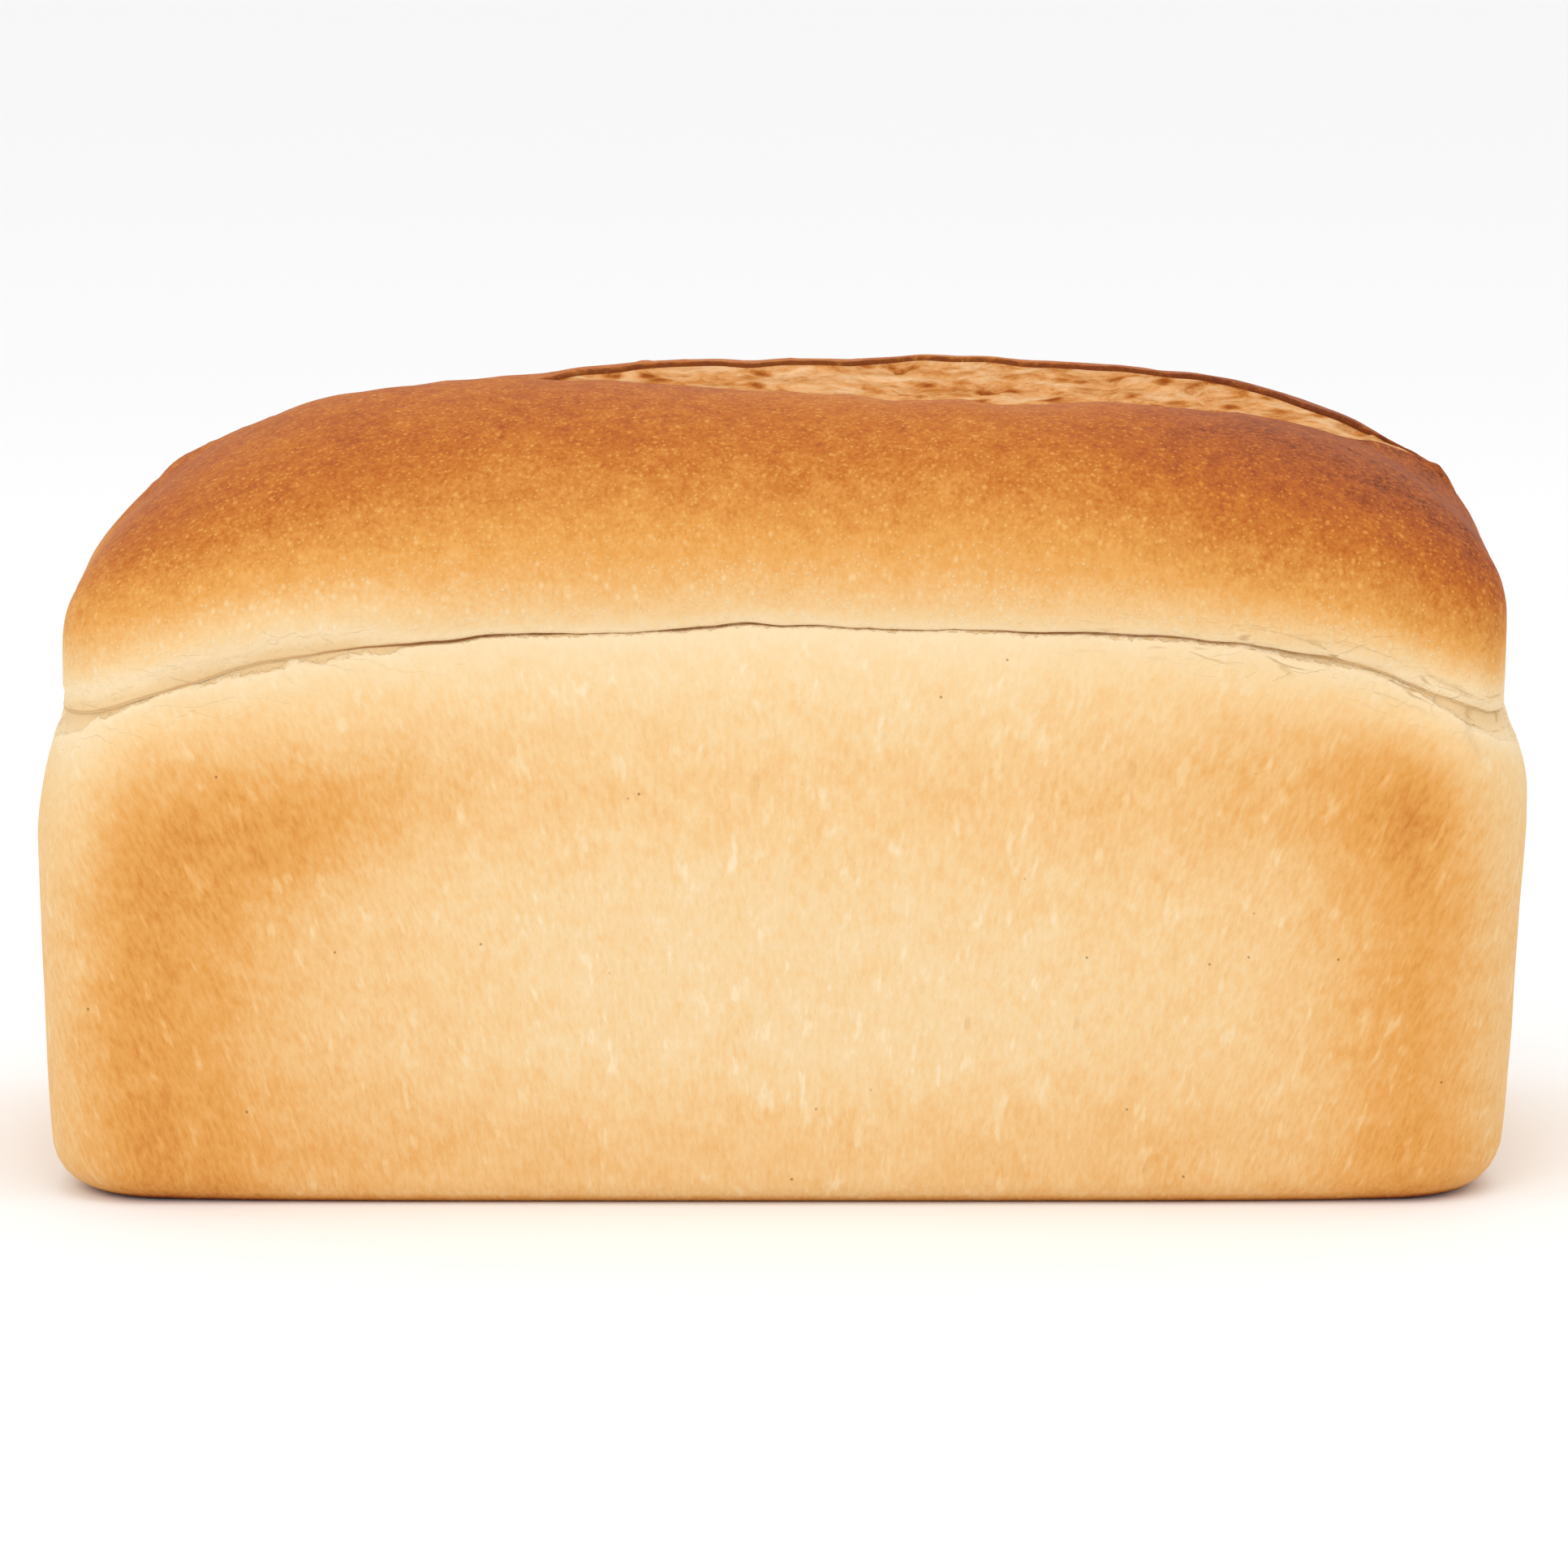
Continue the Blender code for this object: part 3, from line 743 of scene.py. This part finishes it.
    at_end = add_node(
        tree,
        "ShaderNodeMapRange",
        {"From Min": 40 * MM, "From Max": 80 * MM, "To Min": 0.0, "To Max": 1.0},
        {"Value": far},
    ).outputs[0]
    amount = add_node(tree, "ShaderNodeMath", {"operation": "MULTIPLY"}, {0: by_tear, 1: at_end}).outputs[0]
    step = add_node(
        tree, "ShaderNodeMath", {"operation": "MULTIPLY_ADD"}, {0: thick, 1: amount, 2: step}
    ).outputs[0]
    relief = add_node(
        tree, "ShaderNodeMath", {"operation": "MULTIPLY_ADD", 1: -0.2}, {0: hairline, 2: step}
    ).outputs[0]
    return colour, relief


def tin_baked_crust():
    """Thin matt crust baked against steel: even gold with fine upright drag marks.

    The crumb beneath pressed on the tin without steam, so it has no blisters, only
    faint grain, pale rubbed flecks and pin holes.
    """
    material, tree, shader, place = new_material("tin_baked_crust", 0.7, 0.12)
    level = add_node(tree, "ShaderNodeAttribute", {"attribute_name": "bake"}).outputs["Fac"]
    # The drag marks lean outwards, by half a millimetre in one at the ends.
    axes = add_node(tree, "ShaderNodeSeparateXYZ", {}, {"Vector": place})
    lean = add_node(
        tree, "ShaderNodeMath", {"operation": "MULTIPLY_ADD", 1: -4.0, 2: 1.24}, {0: axes.outputs["Z"]}
    ).outputs[0]
    leaning_x = add_node(
        tree, "ShaderNodeMath", {"operation": "MULTIPLY"}, {0: axes.outputs["X"], 1: lean}
    ).outputs[0]
    leaning = add_node(
        tree, "ShaderNodeCombineXYZ", {}, {"X": leaning_x, "Y": axes.outputs["Y"], "Z": axes.outputs["Z"]}
    ).outputs[0]
    drawn = add_node(tree, "ShaderNodeMapping", {"Scale": (1, 1, 0.4)}, {"Vector": leaning}).outputs[0]
    # Flecks about 0.6 mm wide and 1.5 mm tall.
    flecks = add_node(
        tree,
        "ShaderNodeTexNoise",
        {"Scale": 1 / (0.9 * MM), "Detail": 3.0, "Roughness": 0.65},
        {"Vector": drawn},
    ).outputs["Fac"]
    flecked = add_node(
        tree,
        "ShaderNodeMapRange",
        {"From Min": 0.3, "From Max": 0.7, "To Min": 0.08, "To Max": -0.08},
        {"Value": flecks},
    ).outputs[0]
    # Mottling of about 5 mm.
    mottle = add_node(
        tree,
        "ShaderNodeTexNoise",
        {"Scale": 1 / (6 * MM), "Detail": 3.0, "Roughness": 0.6},
        {"Vector": place},
    ).outputs["Fac"]
    mottled = add_node(
        tree,
        "ShaderNodeMapRange",
        {"From Min": 0.3, "From Max": 0.7, "To Min": 0.05, "To Max": -0.05},
        {"Value": mottle},
    ).outputs[0]
    # Rubbed pale scuffs, 1 mm by 3 mm and far between.
    scuff = add_node(
        tree,
        "ShaderNodeTexNoise",
        {"Scale": 1 / (2.6 * MM), "Detail": 2.0, "Roughness": 0.6},
        {"Vector": drawn},
    ).outputs["Fac"]
    scuffed = add_node(
        tree,
        "ShaderNodeMapRange",
        {"From Min": 0.61, "From Max": 0.7, "To Min": 0.0, "To Max": -0.12},
        {"Value": scuff},
    ).outputs[0]
    total = add_node(tree, "ShaderNodeMath", {"operation": "ADD"}, {0: level, 1: flecked}).outputs[0]
    total = add_node(tree, "ShaderNodeMath", {"operation": "ADD"}, {0: total, 1: mottled}).outputs[0]
    total = add_node(tree, "ShaderNodeMath", {"operation": "ADD"}, {0: total, 1: scuffed}).outputs[0]
    colour, relief = torn_rim(tree, place, total, 5.0, 1.0, 0.3)
    # Shallow pits where bubbles met the tin, 1 mm wide and 2 mm tall, sunk in the relief and darkened with painted
    # shade.
    pitted = add_node(tree, "ShaderNodeAttribute", {"attribute_name": "pitted"}).outputs["Fac"]
    bubble = add_node(tree, "ShaderNodeTexVoronoi", {"Scale": 1 / (3.2 * MM)}, {"Vector": drawn})
    hollow = add_node(
        tree,
        "ShaderNodeMapRange",
        {"interpolation_type": "SMOOTHSTEP", "From Min": 0.1, "From Max": 0.26, "To Min": 1.0, "To Max": 0.0},
        {"Value": bubble.outputs["Distance"]},
    ).outputs[0]
    odds = add_node(
        tree, "ShaderNodeMath", {"operation": "MULTIPLY_ADD", 1: 0.5}, {0: pitted, 2: bubble.outputs["Color"]}
    ).outputs[0]
    taken = add_node(
        tree,
        "ShaderNodeMapRange",
        {"From Min": 0.86, "From Max": 0.94, "To Min": 0.0, "To Max": 1.0},
        {"Value": odds},
    ).outputs[0]
    pit = add_node(tree, "ShaderNodeMath", {"operation": "MULTIPLY"}, {0: hollow, 1: taken}).outputs[0]
    # Painted shade in the pits: a darker gold mixed in at 0.4 of the pit mask.
    pit_shade = add_node(tree, "ShaderNodeMath", {"operation": "MULTIPLY", 1: 0.4}, {0: pit}).outputs[0]
    colour = add_node(
        tree, "ShaderNodeMix", {"data_type": "RGBA", 7: linear("D29E5C")}, {0: pit_shade, 6: colour}
    ).outputs[2]
    relief = add_node(
        tree, "ShaderNodeMath", {"operation": "MULTIPLY_ADD", 1: -0.2}, {0: pit, 2: relief}
    ).outputs[0]
    # Pin holes 0.3 mm wide, one in each 8 mm or so: dark dots of painted shade, with no relief.
    pin = add_node(tree, "ShaderNodeTexVoronoi", {"Scale": 1 / (8 * MM)}, {"Vector": place})
    hole = add_node(
        tree,
        "ShaderNodeMapRange",
        {"From Min": 0.018, "From Max": 0.04, "To Min": 0.7, "To Max": 0.0},
        {"Value": pin.outputs["Distance"]},
    ).outputs[0]
    colour = add_node(
        tree, "ShaderNodeMix", {"data_type": "RGBA", 7: linear("7A4A20")}, {0: hole, 6: colour}
    ).outputs[2]
    tree.links.new(colour, shader.inputs["Base Color"])
    height = add_node(
        tree, "ShaderNodeMath", {"operation": "MULTIPLY_ADD", 1: 0.22}, {0: flecks, 2: relief}
    ).outputs[0]
    bump = add_node(tree, "ShaderNodeBump", {"Strength": 1.0, "Distance": MM}, {"Height": height})
    tree.links.new(bump.outputs[0], shader.inputs["Normal"])
    return material


def oven_browned_crust():
    """Crown crust, blistered by steam and browned by the open oven, with a dull gleam."""
    material, tree, shader, place = new_material("oven_browned_crust", 0.6, 0.07)
    level = add_node(tree, "ShaderNodeAttribute", {"attribute_name": "bake"}).outputs["Fac"]
    # Fine round blisters of about 0.5 mm, which stay paler than the skin between them.
    fine = add_node(tree, "ShaderNodeTexVoronoi", {"Scale": 1 / (0.95 * MM)}, {"Vector": place})
    dot = add_node(
        tree,
        "ShaderNodeMapRange",
        {"From Min": 0.16, "From Max": 0.4, "To Min": 1.0, "To Max": 0.0},
        {"Value": fine.outputs["Distance"]},
    ).outputs[0]
    picked = add_node(
        tree,
        "ShaderNodeMapRange",
        {"From Min": 0.36, "From Max": 0.62, "To Min": 0.0, "To Max": 1.0},
        {"Value": fine.outputs["Color"]},
    ).outputs[0]
    specks = add_node(tree, "ShaderNodeMath", {"operation": "MULTIPLY"}, {0: dot, 1: picked}).outputs[0]
    # Larger ones of about 1 mm, drawn a little tall and far between.
    drawn = add_node(tree, "ShaderNodeMapping", {"Scale": (1, 1, 0.7)}, {"Vector": place}).outputs[0]
    blister = add_node(tree, "ShaderNodeTexVoronoi", {"Scale": 1 / (1.6 * MM)}, {"Vector": drawn})
    spot = add_node(
        tree,
        "ShaderNodeMapRange",
        {"From Min": 0.12, "From Max": 0.36, "To Min": 1.0, "To Max": 0.0},
        {"Value": blister.outputs["Distance"]},
    ).outputs[0]
    chosen = add_node(
        tree,
        "ShaderNodeMapRange",
        {"From Min": 0.55, "From Max": 0.7, "To Min": 0.0, "To Max": 1.0},
        {"Value": blister.outputs["Color"]},
    ).outputs[0]
    spots = add_node(tree, "ShaderNodeMath", {"operation": "MULTIPLY"}, {0: spot, 1: chosen}).outputs[0]
    either = add_node(
        tree, "ShaderNodeMath", {"operation": "MAXIMUM"}, {0: spots, 1: specks}
    ).outputs[0]
    mottle = add_node(
        tree,
        "ShaderNodeTexNoise",
        {"Scale": 1 / (3.5 * MM), "Detail": 4.0, "Roughness": 0.65},
        {"Vector": place},
    ).outputs["Fac"]
    mottled = add_node(
        tree,
        "ShaderNodeMapRange",
        {"From Min": 0.3, "From Max": 0.7, "To Min": 0.065, "To Max": -0.03},
        {"Value": mottle},
    ).outputs[0]
    paler = add_node(
        tree, "ShaderNodeMath", {"operation": "MULTIPLY_ADD", 1: -0.14}, {0: either, 2: mottled}
    ).outputs[0]
    # Grain of about 0.4 mm between the blisters, also drawn a little tall.
    grain = add_node(
        tree,
        "ShaderNodeTexNoise",
        {"Scale": 1 / (0.8 * MM), "Detail": 3.0, "Roughness": 0.7},
        {"Vector": drawn},
    ).outputs["Fac"]
    grained = add_node(
        tree,
        "ShaderNodeMapRange",
        {"From Min": 0.3, "From Max": 0.7, "To Min": 0.07, "To Max": -0.07},
        {"Value": grain},
    ).outputs[0]
    total = add_node(tree, "ShaderNodeMath", {"operation": "ADD"}, {0: level, 1: paler}).outputs[0]
    total = add_node(tree, "ShaderNodeMath", {"operation": "ADD"}, {0: total, 1: grained}).outputs[0]
    colour, relief = torn_rim(tree, place, total, 1.8, 0.05, 2.5)
    # The lips of the split are charred for a millimetre or so.
    past_lip = add_node(tree, "ShaderNodeAttribute", {"attribute_name": "past_lip"}).outputs["Fac"]
    ragged_lip = add_node(
        tree, "ShaderNodeMath", {"operation": "MULTIPLY_ADD", 1: -3.0}, {0: mottle, 2: past_lip}
    ).outputs[0]
    ragged_lip = add_node(
        tree, "ShaderNodeMath", {"operation": "ADD", 1: 1.5}, {0: ragged_lip}
    ).outputs[0]
    charred = add_node(
        tree,
        "ShaderNodeMapRange",
        {"From Min": -0.3, "From Max": 0.7, "To Min": 0.0, "To Max": 0.75},
        {"Value": ragged_lip},
    ).outputs[0]
    colour = add_node(
        tree, "ShaderNodeMix", {"data_type": "RGBA", 7: linear("5E2A10")}, {0: charred, 6: colour}
    ).outputs[2]
    tree.links.new(colour, shader.inputs["Base Color"])
    raised = add_node(
        tree, "ShaderNodeMath", {"operation": "MULTIPLY_ADD", 1: 0.09}, {0: either, 2: relief}
    ).outputs[0]
    height = add_node(
        tree, "ShaderNodeMath", {"operation": "MULTIPLY_ADD", 1: 0.25}, {0: mottle, 2: raised}
    ).outputs[0]
    bump = add_node(tree, "ShaderNodeBump", {"Strength": 1.0, "Distance": MM}, {"Height": height})
    tree.links.new(bump.outputs[0], shader.inputs["Normal"])
    return material


def torn_crumb():
    """Open crumb in the split: peach-orange strands drawn along the loaf, and holes darkened with painted shade."""
    material, tree, shader, place = new_material("torn_crumb", 0.9, 0.1)
    drawn = add_node(tree, "ShaderNodeMapping", {"Scale": (0.35, 1, 1)}, {"Vector": place}).outputs[0]
    # Strands 0.6 mm thick in sheets of 2 mm.
    strands = add_node(
        tree,
        "ShaderNodeTexNoise",
        {"Scale": 1 / (2.6 * MM), "Detail": 5.0, "Roughness": 0.7, "Distortion": 0.4},
        {"Vector": drawn},
    ).outputs["Fac"]
    # Holes of 0.5 to 1.2 mm, sunk in the bump and darkened with painted shade.
    pore = add_node(tree, "ShaderNodeTexVoronoi", {"Scale": 1 / (2.2 * MM)}, {"Vector": drawn})
    hole = add_node(
        tree,
        "ShaderNodeMapRange",
        {"From Min": 0.12, "From Max": 0.42, "To Min": -0.2, "To Max": 0.0},
        {"Value": pore.outputs["Distance"]},
    ).outputs[0]
    open_crumb = add_node(tree, "ShaderNodeMath", {"operation": "ADD"}, {0: strands, 1: hole}).outputs[0]
    # The colour follows the crumb's height: low strands and holes are darker, partly the crumb's own tone and partly
    # painted shade.
    ramp = add_node(tree, "ShaderNodeValToRGB", {}, {"Fac": open_crumb})
    stops = ramp.color_ramp.elements
    stops.new(0.5)
    stops.new(0.5)
    shades = ((0.24, "9A4E1C"), (0.36, "C07836"), (0.48, "D89C60"), (0.64, "E8BC8C"))
    for stop, (position, colour) in zip(stops, shades):
        stop.position = position
        stop.color = linear(colour)
    tree.links.new(ramp.outputs["Color"], shader.inputs["Base Color"])
    bump = add_node(
        tree, "ShaderNodeBump", {"Strength": 1.0, "Distance": 1.2 * MM}, {"Height": open_crumb}
    )
    tree.links.new(bump.outputs[0], shader.inputs["Normal"])
    return material


def pale_floor():
    """Plain pale floor that runs out of sight in every direction."""
    side = 25.0
    mesh = bpy.data.meshes.new("pale_floor")
    corners = [(-side, -side, 0), (side, -side, 0), (side, side, 0), (-side, side, 0)]
    mesh.from_pydata(corners, [], [(0, 1, 2, 3)])
    material, tree, shader, place = new_material("matt_white_paint", 0.9, 0.1)
    shader.inputs["Base Color"].default_value = linear("F7F7F7")
    mesh.materials.append(material)
    floor = bpy.data.objects.new("pale_floor", mesh)
    bpy.context.collection.objects.link(floor)


def soft_light(name, place, size, power):
    """Square soft box at a place, turned to face the middle of the loaf."""
    light = bpy.data.lights.new(name, "AREA")
    light.shape = "SQUARE"
    light.size = size
    light.energy = power
    lamp = bpy.data.objects.new(name, light)
    bpy.context.collection.objects.link(lamp)
    lamp.location = place
    aim = np.array([0, 0, HEIGHT / 2]) - np.array(place)
    lamp.rotation_euler = (
        math.atan2(math.hypot(aim[0], aim[1]), -aim[2]), 0, math.atan2(aim[1], aim[0]) - math.pi / 2
    )


def studio():
    """White surroundings, two soft boxes and the camera at the front."""
    world = bpy.data.worlds.new("white_room")
    world.use_nodes = True
    world.node_tree.nodes["Background"].inputs["Color"].default_value = (1, 1, 1, 1)
    world.node_tree.nodes["Background"].inputs["Strength"].default_value = 1.0
    bpy.context.scene.world = world
    bpy.context.scene.view_settings.view_transform = "Standard"
    soft_light("overhead_soft_box", (0.1, -0.25, 1.3), 0.9, 3.0)
    soft_light("front_soft_box", (-0.5, -1.2, 0.8), 0.8, 3.0)

    camera = bpy.data.cameras.new("camera")
    camera.sensor_width = 36.0
    distance = 1.4
    view_width = 0.2712
    camera.lens = camera.sensor_width * distance / view_width
    elevation = math.radians(8.5)
    aim = np.array([0, 0, 0.0625])
    holder = bpy.data.objects.new("camera", camera)
    bpy.context.collection.objects.link(holder)
    holder.location = aim + distance * np.array([0, -math.cos(elevation), math.sin(elevation)])
    holder.rotation_euler = (math.pi / 2 - elevation, 0, 0)
    camera.clip_end = 50.0
    bpy.context.scene.camera = holder


loaf = baked_loaf()
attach(loaf, "root")
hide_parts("loaf")
pale_floor()
studio()
